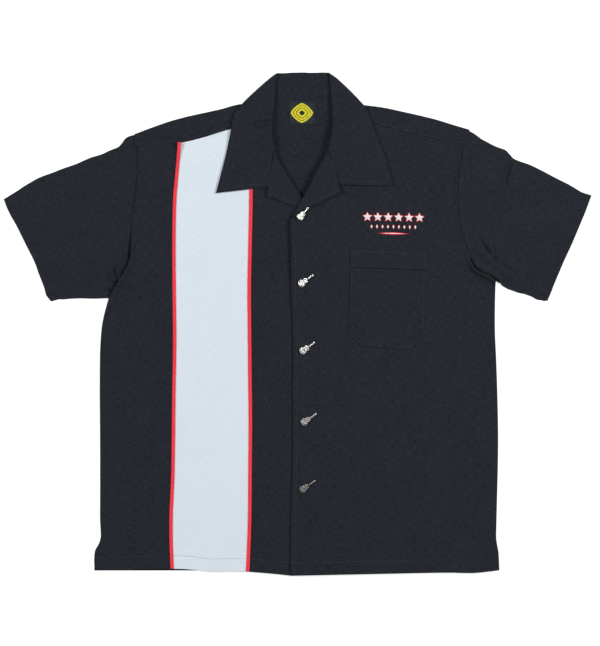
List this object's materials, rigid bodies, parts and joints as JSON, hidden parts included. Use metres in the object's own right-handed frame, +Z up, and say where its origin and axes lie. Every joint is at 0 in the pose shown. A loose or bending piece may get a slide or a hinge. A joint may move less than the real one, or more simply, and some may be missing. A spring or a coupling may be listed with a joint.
{
  "type": "bowling shirt",
  "caption": "Short-sleeved camp-collar bowling shirt laid flat, black with a pale front panel edged in red piping, breast pocket and guitar-shaped metal buttons.",
  "frame": {"origin": "on the surface the shirt lies on, under the middle of its bounding box", "axes": "+X towards the wearer's left sleeve, +Y from the hem towards the collar, +Z up out of the front of the shirt"},
  "size_m": [0.9272, 0.793, 0.0142],
  "materials": {
    "black_cloth": "matt woven rayon, soft and slightly slubbed",
    "pale_cloth": "matt woven rayon",
    "red_piping": "matt corded piping",
    "button_metal": "polished cast metal",
    "label_cloth": "woven damask label"
  },
  "bodies": {
    "root": {"back_body": "black_cloth", "back_yoke": "black_cloth", "front_right_side": "black_cloth", "front_right_panel": "pale_cloth", "front_right_centre": "black_cloth", "piping_outer": "red_piping", "piping_inner": "red_piping", "front_left": "black_cloth", "facing_right": "black_cloth", "facing_left": "black_cloth", "collar": "black_cloth", "sleeve_right": "black_cloth", "sleeve_left": "black_cloth", "pocket": "black_cloth", "pocket_band": "black_cloth", "button_1": "button_metal", "button_2": "button_metal", "button_3": "button_metal", "button_4": "button_metal", "button_5": "button_metal", "neck_label": "label_cloth"}
  },
  "joints": []
}
